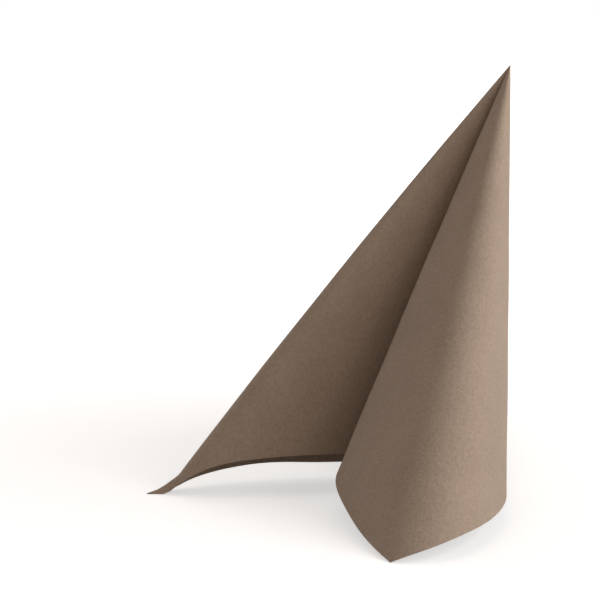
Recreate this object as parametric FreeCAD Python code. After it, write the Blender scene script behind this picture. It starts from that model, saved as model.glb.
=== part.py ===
# Paper napkin: one square sheet held near its middle, standing as a pleated tent on its four corners.
# Millimetres. X to the right, Y away from the viewer, Z up, origin at the middle of the footprint.
# The sheet is bent into straight lines from the held point to its edge, so it stays paper-like.
import FreeCAD, Part
import math
import os

V = FreeCAD.Vector

# The sizes that drive the part
SIZES = [
    ("held_height", 211.2),
    ("thickness", 0.5),
    ("tip_ring", 3.0),
    ("thinning", 0.015),
    ("foot_length", 17.0),
    ("foot_bend_radius", 14.0),
    ("facets_between_points", 5),
]

# Points of the sheet's lower edge, in order round it, measured from the floor below the held point.
# Each side starts at a corner of the sheet. The left corner is a little too long for its height,
# so its end is a foot that turns out onto the floor.
FRONT_TO_LEFT = [
    (-66, -176, 0),
    (-73, -161, 3),
    (-79, -143, 6),
    (-84, -124, 10),
    (-88, -104, 14),
    (-89, -84, 16),
    (-85, -64, 18),
    (-68, -47, 18),
    (-45, -36, 17),
    (-24, -29, 15),
    (-13, -22, 14),
    (-22, -17, 14),
    (-42, -25, 15),
    (-64, -35, 18),
    (-86, -45, 20),
    (-108, -50, 20),
    (-134, -52, 18),
    (-157, -53, 12),
]
LEFT_TO_FAR_LEFT = [
    (-179.1, -46.7, -6.3),
    (-144, -25, 7.6),
    (-102, -14, 8.3),
    (-67, -8, 7.5),
    (-44, 1, 9),
    (-66, 7, 20),
    (-88, 14, 31),
    (-86, 23, 32),
    (-66, 23, 22),
    (-44, 26, 11),
    (-74, 46, 10),
    (-108, 73, 9),
    (-135, 95, 9),
]
FAR_LEFT_TO_BACK = [
    (-150, 113, 0),
    (-131, 109, 14),
    (-107, 95, 7),
    (-69, 70, 7),
    (-37, 51, 10),
    (-44, 69, 24),
    (-52, 90, 38),
    (-46, 96, 41),
    (-33, 80, 30),
    (-18, 59, 14),
    (-13, 88, 14),
    (-12, 127, 13),
    (-11, 168, 9),
]
BACK_TO_FRONT = [
    (-3, 188, 0),
    (3, 168, 9),
    (3, 135, 5),
    (2, 83, 7),
    (0, 36, 10),
    (-2, 0, 11),
    (-5, -36, 11),
    (-6, -74, 10),
    (-9, -107, 10),
    (-18, -138, 10),
    (-31, -163, 10),
    (-46, -175, 7),
]
SIDES = [FRONT_TO_LEFT, LEFT_TO_FAR_LEFT, FAR_LEFT_TO_BACK, BACK_TO_FRONT]

# Where the foot has corners of its facets, as shares of its length
FOOT_SHARES = [0.0, 0.2, 0.4, 0.6, 1.0]

doc = FreeCAD.newDocument("Napkin")
sheet = doc.addObject("Spreadsheet::Sheet", "Sizes")
for row, (name, value) in enumerate(SIZES, start=1):
    sheet.set("A%d" % row, name)
    sheet.set("B%d" % row, str(value))
    sheet.setAlias("B%d" % row, name)
doc.recompute()

held = V(0, 0, float(sheet.held_height))
thickness = float(sheet.thickness)
tip_ring = float(sheet.tip_ring)
foot_length = float(sheet.foot_length)
bend_radius = float(sheet.foot_bend_radius)
steps = int(sheet.facets_between_points)

# The paper thins in step with the distance to the held point, until it has its full thickness
full_from = thickness / float(sheet.thinning)


def lean(edge_point):
    """How far the line to an edge point leans off plumb, to the left and to the front, in degrees."""
    line = edge_point - held
    off_plumb = math.degrees(line.getAngle(V(0, 0, -1)))
    turn = math.atan2(-line.x, -line.y)
    return V(off_plumb * math.sin(turn), off_plumb * math.cos(turn), 0)


def line_of(leaning):
    """The unit vector of a line from its lean."""
    off_plumb = math.radians(leaning.Length)
    turn = math.atan2(leaning.x, leaning.y)
    return V(-math.sin(off_plumb) * math.sin(turn), -math.sin(off_plumb) * math.cos(turn), -math.cos(off_plumb))


def sheet_lines():
    """The lines of the bent sheet, as a direction and a length each, smooth across its corners."""
    points = [V(*p) for side in SIDES for p in side]
    leans = [lean(p) for p in points]
    at = [0.0]
    for a, b in zip(leans, leans[1:] + leans[:1]):
        at.append(at[-1] + (b - a).Length)
    loop = Part.BSplineCurve()
    loop.interpolate(Points=leans, Parameters=at, PeriodicFlag=True)
    lines = []
    first = 0
    for side in SIDES:
        last = first + len(side)
        span = at[first:last + 1]
        ends = points[first:last] + [points[last % len(points)]]
        reach = Part.BSplineCurve()
        reach.interpolate(Points=[V(a, (p - held).Length, 0) for a, p in zip(span, ends)], Parameters=span)
        for a, b in zip(span, span[1:]):
            for step in range(steps):
                here = a + (b - a) * step / steps
                lines.append((line_of(loop.value(here)), reach.value(here).y))
        first = last
    return lines


LINES = sheet_lines()
COUNT = len(LINES)


def turn_of(line, length):
    """How far the end of a line turns up, so that it ends on the floor; not at all if it ends above it."""
    if -length * line.z <= held.z:
        return 0.0
    slope = math.asin(-line.z)
    low, high = 0.0, min(slope, foot_length / bend_radius)
    for _ in range(50):
        turn = (low + high) / 2
        arc_drop = bend_radius * (math.cos(slope - turn) - math.cos(slope))
        end_drop = (foot_length - bend_radius * turn) * math.sin(slope - turn)
        if (length - foot_length) * math.sin(slope) + arc_drop + end_drop > held.z:
            low = turn
        else:
            high = turn
    return low


TURNS = [turn_of(line, length) for line, length in LINES]


def place(index, distance):
    """The middle of the paper at a distance from the held point, down one line."""
    line, length = LINES[index % COUNT]
    past = distance - (length - foot_length)
    if TURNS[index % COUNT] == 0 or past <= 0:
        return held + line * distance
    slope = math.asin(-line.z)
    turned = min(TURNS[index % COUNT], past / bend_radius)
    end = past - bend_radius * turned
    out = bend_radius * (math.sin(slope) - math.sin(slope - turned)) + end * math.cos(slope - turned)
    down = bend_radius * (math.cos(slope - turned) - math.cos(slope)) + end * math.sin(slope - turned)
    outward = V(line.x, line.y, 0).normalize()
    return held + line * (length - foot_length) + outward * out - V(0, 0, down)


def facet_normal(index):
    return LINES[index % COUNT][0].cross(LINES[(index + 1) % COUNT][0]).normalize()


def offset(index, distance):
    """From the middle of the paper to its outer face, per millimetre of half thickness."""
    before, after = facet_normal(index - 1), facet_normal(index)
    mitre = (before + after) / (1 + before.dot(after))
    line, length = LINES[index % COUNT]
    past = distance - (length - foot_length)
    if TURNS[index % COUNT] == 0 or past <= 0:
        return mitre
    turned = min(TURNS[index % COUNT], past / bend_radius)
    level = line.cross(V(0, 0, 1))
    return FreeCAD.Rotation(level, math.degrees(turned)).multVec(mitre)


def rows(index):
    """Distances down a line at which the paper has a corner of a facet."""
    length = LINES[index % COUNT][1]
    if any(TURNS[(index + k) % COUNT] > 0 for k in (-1, 0, 1)):
        return [full_from] + [length - foot_length * (1 - share) for share in FOOT_SHARES]
    return [full_from, length]


def skin(index, distance, side):
    """A point of the outer (1) or inner (-1) face."""
    paper = thickness * min(1.0, distance / full_from)
    return place(index, distance) + offset(index, distance) * (side * paper / 2)


def flat(points):
    return Part.Face(Part.makePolygon(points + points[:1]))


def facets(index):
    """The faces between one line and the next."""
    made = []
    here, there = rows(index), rows(index + 1)
    for side in (1, -1):
        a = [skin(index, d, side) for d in here]
        b = [skin(index + 1, d, side) for d in there]
        made.append(flat([skin(index, tip_ring, side), a[0], b[0], skin(index + 1, tip_ring, side)]))
        if TURNS[index % COUNT] == 0 and TURNS[(index + 1) % COUNT] == 0:
            made.append(flat(a + b[::-1]))
        else:
            for row in range(len(a) - 1):
                made.append(flat([a[row], a[row + 1], b[row]]))
                made.append(flat([a[row + 1], b[row + 1], b[row]]))
    for p, q in ((tip_ring, tip_ring), (here[-1], there[-1])):
        a, b, c, d = skin(index, p, 1), skin(index, p, -1), skin(index + 1, q, 1), skin(index + 1, q, -1)
        made.append(flat([a, b, c]))
        made.append(flat([b, d, c]))
    return made


shell = Part.makeShell([face for index in range(COUNT) for face in facets(index)])
shell.sewShape()
solid = Part.makeSolid(shell.Shells[0])
if solid.Volume < 0:
    solid.reverse()

napkin = doc.addObject("Part::Feature", "Napkin")
napkin.Label = "napkin"
box = solid.BoundBox
solid.translate(V(-box.Center.x, -box.Center.y, -box.ZMin))
napkin.Shape = solid
doc.recompute()

# What the sheet measures when it is laid flat
angles = [math.degrees(LINES[i][0].getAngle(LINES[(i + 1) % COUNT][0])) for i in range(COUNT)]
area = sum(LINES[i][1] * LINES[(i + 1) % COUNT][1] * math.sin(math.radians(angles[i])) / 2 for i in range(COUNT))
print("angle round the held point", round(sum(angles), 1), "area", round(area), "square side", round(area ** 0.5, 1))
first = 0
for side in SIDES:
    last = first + len(side) * steps
    print("side angle", round(sum(angles[first:last]), 1), "corner to held point", round(LINES[first][1], 1))
    first = last
print("volume", round(solid.Volume), "area times thickness", round(area * thickness))
print("held point", [round(c, 2) for c in (held - V(box.Center.x, box.Center.y, box.ZMin))])
print("box", [round(c, 2) for c in (box.XLength, box.YLength, box.ZLength)], "faces", len(solid.Faces))

if napkin.State and set(napkin.State) & {"Invalid", "Error"}:
    raise RuntimeError("the napkin failed to recompute")
if napkin.Shape.isNull() or not napkin.Shape.isValid() or not napkin.Shape.Solids[0].isClosed():
    raise RuntimeError("the napkin is not one valid closed solid")
os.makedirs("parts", exist_ok=True)
napkin.Shape.exportStep("parts/napkin.step")
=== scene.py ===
# %% [markdown]
# # A paper napkin that stands by itself
# A dinner napkin is one square sheet of soft airlaid paper, about 40 cm on a side. Pinched near its
# middle and set down, it stands like a small pleated tent: the four corners reach the table, and the
# paper between them folds inwards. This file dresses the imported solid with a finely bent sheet, gives
# it a matt, grainy paper finish, and sets up the floor, the lamps and the camera.

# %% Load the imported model
import math

import bpy
import bmesh
import numpy as np
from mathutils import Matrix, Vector, noise


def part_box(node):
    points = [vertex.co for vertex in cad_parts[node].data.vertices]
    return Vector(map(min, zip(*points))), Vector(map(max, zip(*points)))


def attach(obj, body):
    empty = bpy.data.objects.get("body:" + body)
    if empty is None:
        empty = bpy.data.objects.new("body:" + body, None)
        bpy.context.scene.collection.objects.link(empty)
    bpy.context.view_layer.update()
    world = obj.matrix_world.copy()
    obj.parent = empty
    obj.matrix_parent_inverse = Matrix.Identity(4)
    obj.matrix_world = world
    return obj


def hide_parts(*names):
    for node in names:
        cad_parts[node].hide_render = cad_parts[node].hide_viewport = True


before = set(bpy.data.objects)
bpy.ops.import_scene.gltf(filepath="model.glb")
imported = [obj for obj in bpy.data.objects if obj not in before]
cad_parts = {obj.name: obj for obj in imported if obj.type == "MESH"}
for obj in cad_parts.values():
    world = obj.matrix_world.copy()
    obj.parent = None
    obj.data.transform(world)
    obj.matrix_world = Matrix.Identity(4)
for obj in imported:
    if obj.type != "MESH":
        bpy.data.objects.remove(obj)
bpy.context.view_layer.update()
low, high = (Vector(corner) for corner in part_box("napkin"))
print("the solid spans", [round(size * 1000) for size in high - low], "mm")

# %% [markdown]
# ## The lower edge
# Paper bends but does not stretch, so a sheet held at one point can only bend along straight lines
# through that point. The whole shape then follows from one closed curve: the sheet's own edge. It is
# written here as points on the floor plan with a height, side by side, each side starting at a corner.

# %% Points of the edge, in millimetres from the floor below the held point
FRONT_TO_LEFT = [
    (-66, -176, 0), (-73, -161, 3), (-79, -143, 6), (-84, -124, 10), (-88, -104, 14), (-89, -84, 16),
    (-85, -64, 18), (-68, -47, 18), (-45, -36, 17), (-24, -29, 15), (-13, -22, 14), (-22, -17, 14),
    (-42, -25, 15), (-64, -35, 18), (-86, -45, 20), (-108, -50, 20), (-134, -52, 18), (-157, -53, 12),
]
LEFT_TO_FAR_LEFT = [
    (-179.1, -46.7, -6.3), (-144, -25, 7.6), (-102, -14, 8.3), (-67, -8, 7.5), (-44, 1, 9), (-66, 7, 20),
    (-88, 14, 31), (-86, 23, 32), (-66, 23, 22), (-44, 26, 11), (-74, 46, 10), (-108, 73, 9),
    (-135, 95, 9),
]
FAR_LEFT_TO_BACK = [
    (-150, 113, 0), (-131, 109, 14), (-107, 95, 7), (-69, 70, 7), (-37, 51, 10), (-44, 69, 24),
    (-52, 90, 38), (-46, 96, 41), (-33, 80, 30), (-18, 59, 14), (-13, 88, 14), (-12, 127, 13),
    (-11, 168, 9),
]
BACK_TO_FRONT = [
    (-3, 188, 0), (3, 168, 9), (3, 135, 5), (2, 83, 7), (0, 36, 10), (-2, 0, 11), (-5, -36, 11),
    (-6, -74, 10), (-9, -107, 10), (-18, -138, 10), (-31, -163, 10), (-46, -175, 7),
]
SIDES = [FRONT_TO_LEFT, LEFT_TO_FAR_LEFT, FAR_LEFT_TO_BACK, BACK_TO_FRONT]
MM = 0.001
HELD = np.array([0.0, 0.0, 211.2]) * MM
print("edge points:", sum(len(side) for side in SIDES))

# %% [markdown]
# ## From points to a smooth sheet
# A straight line of the sheet is a direction and a length. The direction must change smoothly all the
# way round, or the paper would show a crease. The length may turn a sharp corner, because the sheet
# has corners. So the directions are joined by one closed smooth curve, and the lengths by one curve
# for each side. A cubic spline does both, and it takes only a small set of linear equations.

# %% A cubic spline through values at given places
def spline(places, values, closed):
    """A function that runs smoothly through the values; values may be numbers or vectors."""
    x = np.asarray(places, float)
    y = np.asarray(values, float).reshape(len(x), -1)
    step = np.diff(x)
    rise = np.diff(y, axis=0) / step[:, None]
    count = len(x) - 1 if closed else len(x)
    matrix = np.zeros((count, count))
    right = np.zeros((count, y.shape[1]))
    for i in range(count):
        if not closed and i in (0, count - 1):
            matrix[i, i] = 1.0
            matrix[i, 1 if i == 0 else i - 1] = -1.0
            continue
        before, after = step[i - 1], step[i]
        matrix[i, (i - 1) % count] += before
        matrix[i, i] += 2 * (before + after)
        matrix[i, (i + 1) % count] += after
        right[i] = 6 * (rise[i] - rise[i - 1])
    bend = np.linalg.solve(matrix, right)
    bend = np.vstack([bend, bend[:1]]) if closed else bend

    def value(place):
        i = int(np.clip(np.searchsorted(x, place, side="right") - 1, 0, len(step) - 1))
        h, a, b = step[i], x[i + 1] - place, place - x[i]
        curve = (bend[i] * a ** 3 + bend[i + 1] * b ** 3) / (6 * h)
        line = (y[i] / h - bend[i] * h / 6) * a + (y[i + 1] / h - bend[i + 1] * h / 6) * b
        return curve + line
    return value


# %% The lean of a line off plumb, and back to a direction
def lean(point):
    line = np.asarray(point, float) * MM - HELD
    off_plumb = math.degrees(math.acos(-line[2] / np.linalg.norm(line)))
    turn = math.atan2(-line[0], -line[1])
    return off_plumb * math.sin(turn), off_plumb * math.cos(turn)


def direction(left, front):
    off_plumb = math.radians(math.hypot(left, front))
    turn = math.atan2(left, front)
    return np.array([-math.sin(off_plumb) * math.sin(turn), -math.sin(off_plumb) * math.cos(turn),
                     -math.cos(off_plumb)])


# %% All the straight lines of the sheet
LINES_BETWEEN_POINTS = 9


def sheet_lines():
    points = [point for side in SIDES for point in side]
    leans = [lean(point) for point in points]
    places = [0.0]
    for here, there in zip(leans, leans[1:] + leans[:1]):
        places.append(places[-1] + math.dist(here, there))
    around = spline(places, leans + leans[:1], closed=True)
    directions, lengths = [], []
    first = 0
    for side in SIDES:
        last = first + len(side)
        ends = [np.array(points[k % len(points)]) * MM for k in range(first, last + 1)]
        reach = spline(places[first:last + 1], [np.linalg.norm(end - HELD) for end in ends], closed=False)
        for a, b in zip(places[first:last], places[first + 1:last + 1]):
            for k in range(LINES_BETWEEN_POINTS):
                place = a + (b - a) * k / LINES_BETWEEN_POINTS
                directions.append(direction(*around(place)))
                lengths.append(float(reach(place)[0]))
        first = last
    return np.array(directions), np.array(lengths)


directions, lengths = sheet_lines()
count = len(lengths)
following = np.roll(directions, -1, axis=0)
angles = [math.degrees(math.acos(min(1.0, float(a @ b)))) for a, b in zip(directions, following)]
print(count, "lines, through", round(sum(angles)), "degrees in all")

# %% [markdown]
# ## The turned-out foot
# The left corner is a little longer than its height allows. On a table its tip turns outwards and lies
# nearly flat. Each line there stays straight down to the foot, turns through a short arc, and runs on
# straight to the floor. How far it turns is found by halving: more turn lifts the end, less lowers it.

# %% How far each line turns at the foot, and a point on it
FOOT_LENGTH = 17 * MM
FOOT_BEND_RADIUS = 14 * MM


def foot_turn(line, length):
    if -length * line[2] <= HELD[2]:
        return 0.0
    slope = math.asin(-line[2])
    small, large = 0.0, min(slope, FOOT_LENGTH / FOOT_BEND_RADIUS)
    for _ in range(50):
        turn = (small + large) / 2
        arc_drop = FOOT_BEND_RADIUS * (math.cos(slope - turn) - math.cos(slope))
        end_drop = (FOOT_LENGTH - FOOT_BEND_RADIUS * turn) * math.sin(slope - turn)
        if (length - FOOT_LENGTH) * math.sin(slope) + arc_drop + end_drop > HELD[2]:
            small = turn
        else:
            large = turn
    return small


turns = [foot_turn(line, length) for line, length in zip(directions, lengths)]


def on_line(k, distance):
    line, straight = directions[k], lengths[k] - FOOT_LENGTH
    if turns[k] == 0 or distance <= straight:
        return HELD + line * distance
    slope = math.asin(-line[2])
    turned = min(turns[k], (distance - straight) / FOOT_BEND_RADIUS)
    end = distance - straight - FOOT_BEND_RADIUS * turned
    out = FOOT_BEND_RADIUS * (math.sin(slope) - math.sin(slope - turned)) + end * math.cos(slope - turned)
    down = FOOT_BEND_RADIUS * (math.cos(slope - turned) - math.cos(slope)) + end * math.sin(slope - turned)
    outward = np.array([line[0], line[1], 0]) / math.hypot(line[0], line[1])
    return HELD + line * straight + outward * out - np.array([0, 0, down])


print("lines that turn at the foot:", sum(turn > 0 for turn in turns))

# %% [markdown]
# ## The middle of the paper
# Rows run round the sheet at shares of each line's length, closer together at the pinch and at the
# edge, where the shape changes fastest. Soft paper isn't quite straight along its folds either: the
# left fold bows outwards by a couple of millimetres half way down. And a real sheet is never perfectly
# even, so a slow noise moves each point a fraction of a millimetre.

# %% A grid of points, rows from the pinch to the edge
ROW_SHARES = [0.002, 0.01, 0.025, 0.05, 0.09, 0.14, 0.2, 0.27, 0.34, 0.41, 0.48, 0.55, 0.62, 0.69, 0.76, 0.82,
              0.87, 0.905, 0.925, 0.936, 0.942, 0.947, 0.952, 0.957, 0.962, 0.967, 0.973, 0.981, 0.99, 1.0]
middle = np.array([[on_line(k, share * lengths[k]) for k in range(count)] for share in ROW_SHARES])
print("grid of", middle.shape[0], "rows and", middle.shape[1], "lines")

# %% The bow of the left fold
BOW = 2.2 * MM
BOW_REACH = 14.0
left_corner = len(FRONT_TO_LEFT) * LINES_BETWEEN_POINTS
sideways = np.array([directions[left_corner][2], 0, -directions[left_corner][0]])
for k in range(count):
    apart = math.degrees(math.acos(min(1.0, float(directions[k] @ directions[left_corner])))) / BOW_REACH
    for r, share in enumerate(ROW_SHARES):
        middle[r, k] += sideways * BOW * math.sin(math.pi * share) * math.exp(-apart * apart)
print("the left fold bows by", BOW * 1000, "mm towards", [round(float(part), 2) for part in sideways])

# %% Uneven paper
UNEVEN = 0.35 * MM
SLOW_WAVES_PER_METRE = 22
QUICK_WAVES_PER_METRE = 60


def outward_normals(points):
    """Square to the paper at each point of the grid."""
    along_row = np.roll(points, -1, axis=1) - np.roll(points, 1, axis=1)
    down = np.gradient(points, axis=0)
    square = np.cross(along_row, down)
    return square / np.linalg.norm(square, axis=2)[:, :, None]


normals = outward_normals(middle)
farthest = 0.0
for r, share in enumerate(ROW_SHARES):
    for k in range(count):
        # Less at the pinch and at the edge, whose outline is already drawn by its points
        fade = min(1.0, share * 4) * min(1.0, 12 * (1 - share) + 0.15)
        place = Vector(middle[r, k])
        wave = noise.noise(place * SLOW_WAVES_PER_METRE) + 0.5 * noise.noise(place * QUICK_WAVES_PER_METRE)
        middle[r, k] += normals[r, k] * wave * UNEVEN * fade
        farthest = max(farthest, abs(wave * UNEVEN * fade))
normals = outward_normals(middle)
print("the paper wanders by up to", round(farthest * 1000, 2), "mm")

# %% [markdown]
# ## Two faces and a thin rim
# The paper is taken as half a millimetre thick. The grid is moved half of that out and half in,
# thinning over the last few centimetres before the pinch, where there is no room for it. The two faces
# are joined at the pinch and along the edge, so the sheet is one closed surface.

# %% The mesh of the sheet
THICKNESS = 0.5 * MM
FULL_FROM = 33.3 * MM


def sheet_mesh():
    distance = np.array([[share * lengths[k] for k in range(count)] for share in ROW_SHARES])
    half = THICKNESS / 2 * np.minimum(1.0, distance / FULL_FROM)
    outer = middle + normals * half[:, :, None]
    inner = middle - normals * half[:, :, None]
    rows = list(outer) + list(inner[::-1])
    mesh = bpy.data.meshes.new("napkin_sheet")
    built = bmesh.new()
    made = [[built.verts.new(point) for point in row] for row in rows]
    for a, b in zip(made, made[1:] + made[:1]):
        for k in range(count):
            built.faces.new((a[k], b[k], b[(k + 1) % count], a[(k + 1) % count]))
    bmesh.ops.recalc_face_normals(built, faces=built.faces)
    built.to_mesh(mesh)
    built.free()
    return mesh


napkin = bpy.data.objects.new("napkin_sheet", sheet_mesh())
bpy.context.scene.collection.objects.link(napkin)
print("faces:", len(napkin.data.polygons))

# %% Stand it where the solid stands
corners = np.array([vertex.co for vertex in napkin.data.vertices])
own_low, own_high = corners.min(axis=0), corners.max(axis=0)
shift = Vector(((low.x + high.x - own_low[0] - own_high[0]) / 2,
                (low.y + high.y - own_low[1] - own_high[1]) / 2,
                low.z - own_low[2]))
for vertex in napkin.data.vertices:
    vertex.co += shift
held_at = Vector(HELD) + shift
for polygon in napkin.data.polygons:
    polygon.use_smooth = True
print("held point at", [round(value * 1000, 1) for value in held_at], "mm")

# %% Keep the rim crisp
rim = napkin.modifiers.new("rim", "EDGE_SPLIT")
rim.split_angle = math.radians(55)

# %% [markdown]
# ## Shader maths as plain expressions
# A Blender material is a graph of nodes. Small sums are easier to read as Python, so a value wraps a
# node's output socket, and adding or multiplying two values makes the Math node that does it.

# %% A value that wraps a socket
class Value:
    def __init__(self, tree, socket):
        self.tree = tree
        self.socket = socket

    def _maths(self, operation, first, second):
        node = self.tree.nodes.new("ShaderNodeMath")
        node.operation = operation
        for socket, item in zip(node.inputs, (first, second)):
            if isinstance(item, Value):
                self.tree.links.new(item.socket, socket)
            else:
                socket.default_value = item
        return Value(self.tree, node.outputs[0])

    def __add__(self, other):
        return self._maths("ADD", self, other)

    def __radd__(self, other):
        return self._maths("ADD", other, self)

    def __sub__(self, other):
        return self._maths("SUBTRACT", self, other)

    def __rsub__(self, other):
        return self._maths("SUBTRACT", other, self)

    def __mul__(self, other):
        return self._maths("MULTIPLY", self, other)

    def __rmul__(self, other):
        return self._maths("MULTIPLY", other, self)


# %% One method for any other node, and short names for what is made more than once
class Finish:
    """A material's nodes. Finish.of takes a tree that is there already, such as the world's."""
    def __init__(self, name):
        self.material = bpy.data.materials.new(name)
        self.material.use_nodes = True
        self.tree = self.material.node_tree
        self.tree.nodes.clear()

    @classmethod
    def of(cls, tree):
        made = cls.__new__(cls)
        made.tree = tree
        return made

    def node(self, kind, settings=None, **inputs):
        """A node of a kind, its settings set first, then its sockets by name."""
        made = self.tree.nodes.new(kind)
        for name, setting in (settings or {}).items():
            setattr(made, name, setting)
        for name, item in inputs.items():
            socket = made.inputs[name.replace("_", " ")]
            if isinstance(item, Value):
                self.tree.links.new(item.socket, socket)
            else:
                socket.default_value = item
        return made

    def out(self, made, name):
        return Value(self.tree, made.outputs[name])

    def between(self, share, first, second):
        """A colour between two colours. Sockets 6 and 7 and output 2 are the Mix node's colours."""
        made = self.node("ShaderNodeMix", {"data_type": "RGBA"}, Factor=share)
        made.inputs[6].default_value = first
        made.inputs[7].default_value = second
        return Value(self.tree, made.outputs[2])

    def joined(self, kind, first, second, **inputs):
        """A node that joins two shaders, which go into its last two sockets."""
        made = self.node(kind, **inputs)
        for socket, shader in zip(list(made.inputs)[-2:], (first, second)):
            self.tree.links.new(shader.outputs[0], socket)
        return made

    def seen(self):
        """1 for a ray from the camera, straight or by way of gloss or glass, and 0 for any other."""
        rays = self.node("ShaderNodeLightPath")
        straight = self.out(rays, "Is Camera Ray")
        return straight + self.out(rays, "Is Glossy Ray") + self.out(rays, "Is Transmission Ray")


# %% [markdown]
# ## Airlaid paper
# Airlaid paper is short wood fibres laid down by air and bonded. It looks and feels like linen: quite
# matt, with a fine irregular mottle a millimetre or two across and soft clouds where more fibres fell.
# The same noises drive the relief and the colour, because a tuft of fibres is both higher and paler.
# The clouds are in the colour alone. The noise is taken in the object's own space and needs no
# unwrapping.

# %% The paper finish
PAPER_PALE = (0.490, 0.378, 0.293, 1.0)
PAPER_DARK = (0.340, 0.255, 0.190, 1.0)
MOTTLE_SCALE = 620.0
FIBRE_SCALE = 1900.0
CLOUD_SCALE = 45.0
RELIEF_DEPTH = 0.9 * MM


def airlaid_paper():
    paper = Finish("airlaid_paper")
    place = paper.out(paper.node("ShaderNodeTexCoord"), "Object")

    def grain(scale, detail, roughness):
        made = paper.node("ShaderNodeTexNoise", Vector=place, Scale=scale, Detail=detail, Roughness=roughness)
        return paper.out(made, "Fac")

    mottle = grain(MOTTLE_SCALE, 3.0, 0.6)
    fibre = grain(FIBRE_SCALE, 2.0, 0.7)
    cloud = grain(CLOUD_SCALE, 3.0, 0.55)
    # A noise keeps near one half, so the last number keeps the shade near one half too
    colour = paper.between(mottle * 1.2 + fibre * 0.5 + cloud * 0.5 - 0.6, PAPER_DARK, PAPER_PALE)
    relief = mottle * 0.7 + fibre * 0.3
    bump = paper.node("ShaderNodeBump", Height=relief, Strength=0.8, Distance=RELIEF_DEPTH)
    shader = paper.node("ShaderNodeBsdfPrincipled", Base_Color=colour, Roughness=0.93,
                        Normal=paper.out(bump, "Normal"))
    shader.inputs["Specular IOR Level"].default_value = 0.2
    shader.inputs["Sheen Weight"].default_value = 0.12
    shader.inputs["Sheen Roughness"].default_value = 0.6
    paper.node("ShaderNodeOutputMaterial", Surface=paper.out(shader, "BSDF"))
    return paper.material


napkin.data.materials.append(airlaid_paper())
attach(napkin, "root")
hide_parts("napkin")
print("the sheet wears", napkin.data.materials[0].name)

# %% [markdown]
# ## Floor and background
# The napkin stands on a plain white surface that runs into a white background. A real studio gets that
# with a sheet of white card that curves up and is lit by itself. Here the floor is matt, and it also
# glows a little to the camera, straight or by way of gloss or glass, but sheds no light on the napkin.
# The glow grows to plain white away from the napkin, so the soft shadow stays and no edge shows.

# %% A floor that keeps the shadow
FLOOR_SIZE = 6.0
FLOOR_WHITE = (0.8, 0.8, 0.8, 1.0)
GLOW_NEAR = 0.56
GLOW_GROWS_FROM = 0.16
GLOW_FULL_AT = 0.75
BLACK = (0.0, 0.0, 0.0, 1.0)
WHITE = (1.0, 1.0, 1.0, 1.0)


def floor_finish():
    white = Finish("white_floor")
    place = white.out(white.node("ShaderNodeTexCoord"), "Object")
    apart = white.node("ShaderNodeVectorMath", {"operation": "LENGTH"}, Vector=place)
    glow = white.node("ShaderNodeMapRange", {"interpolation_type": "SMOOTHSTEP"},
                      Value=white.out(apart, "Value"), From_Min=GLOW_GROWS_FROM, From_Max=GLOW_FULL_AT,
                      To_Min=GLOW_NEAR, To_Max=1.0)
    tint = white.between(white.out(glow, "Result"), BLACK, WHITE)
    matt = white.node("ShaderNodeBsdfDiffuse", Color=FLOOR_WHITE)
    bright = white.node("ShaderNodeEmission", Color=tint, Strength=1.0)
    both = white.joined("ShaderNodeAddShader", matt, bright)
    shown = white.joined("ShaderNodeMixShader", matt, both, Fac=white.seen())
    white.node("ShaderNodeOutputMaterial", Surface=white.out(shown, "Shader"))
    return white.material


bpy.ops.mesh.primitive_plane_add(size=FLOOR_SIZE, location=(0, 0, low.z))
floor = bpy.context.active_object
floor.name = "floor"
floor.data.materials.append(floor_finish())

# %% The world: white to the camera, a soft warm fill to the object
FILL_COLOUR = (1.0, 0.83, 0.70, 1.0)
FILL_STRENGTH = 0.23

world = bpy.data.worlds.new("studio")
bpy.context.scene.world = world
world.use_nodes = True
world.node_tree.nodes.clear()


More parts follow.
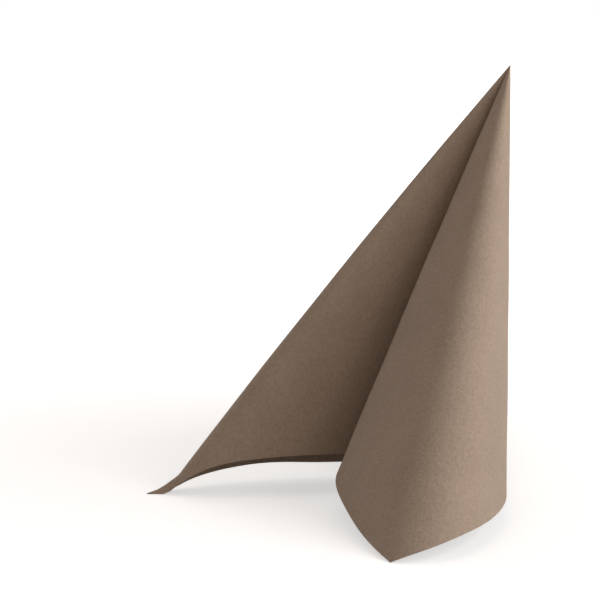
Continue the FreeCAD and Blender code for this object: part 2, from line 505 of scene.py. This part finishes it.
def world_light():
    studio = Finish.of(world.node_tree)
    fill = studio.node("ShaderNodeBackground", Color=FILL_COLOUR, Strength=FILL_STRENGTH)
    white = studio.node("ShaderNodeBackground", Color=WHITE, Strength=1.0)
    shown = studio.joined("ShaderNodeMixShader", fill, white, Fac=studio.seen())
    studio.node("ShaderNodeOutputWorld", Surface=studio.out(shown, "Shader"))


world_light()
print("fill of strength", FILL_STRENGTH)

# %% [markdown]
# ## Lamps
# One large soft lamp stands to the right and a little in front. The front lobe stands in its way, so
# the left wing and the deep fold stay darker, and a soft shadow falls to the left. A weak lamp above,
# another behind and the world's own light fill the rest.

# %% Three soft lamps
centre = (low + high) / 2


def soft_lamp(name, from_centre, width, power):
    """A square lamp of a width in metres and a power in watts, turned to the middle of the napkin."""
    data = bpy.data.lights.new(name, "AREA")
    data.shape = "SQUARE"
    data.size = width
    data.energy = power
    lamp = bpy.data.objects.new(name, data)
    bpy.context.scene.collection.objects.link(lamp)
    lamp.location = centre + Vector(from_centre)
    lamp.rotation_euler = (-Vector(from_centre)).to_track_quat("-Z", "Y").to_euler()
    print("lamp", name, "of", power, "W")


soft_lamp("key", (1.82, -0.8, 0.8), width=2.0, power=36.5)
soft_lamp("top", (-0.2, 0.2, 1.8), width=1.6, power=4)
soft_lamp("back", (-0.6, 1.7, 0.9), width=1.6, power=10)

# %% [markdown]
# ## Camera
# The view is from a little above, with a long lens. The camera looks straight along the row's Y axis
# and is tilted down; its place is given from the held point, which the picture shows best.

# %% The camera
FROM_HELD_POINT = Vector((-106.5, -1267.4, 91.3)) * MM
TILT_DOWN = 9.5
LENS = 150.0
SENSOR_WIDTH = 36.0

camera_data = bpy.data.cameras.new("camera")
camera_data.lens = LENS
camera_data.sensor_width = SENSOR_WIDTH
camera = bpy.data.objects.new("camera", camera_data)
bpy.context.scene.collection.objects.link(camera)
camera.location = held_at + FROM_HELD_POINT
camera.rotation_euler = (math.radians(90 - TILT_DOWN), 0, 0)
bpy.context.scene.camera = camera
bpy.context.scene.view_settings.view_transform = "Standard"
print("camera at", [round(value, 3) for value in camera.location])

# %% Update the scene and finish
bpy.context.view_layer.update()
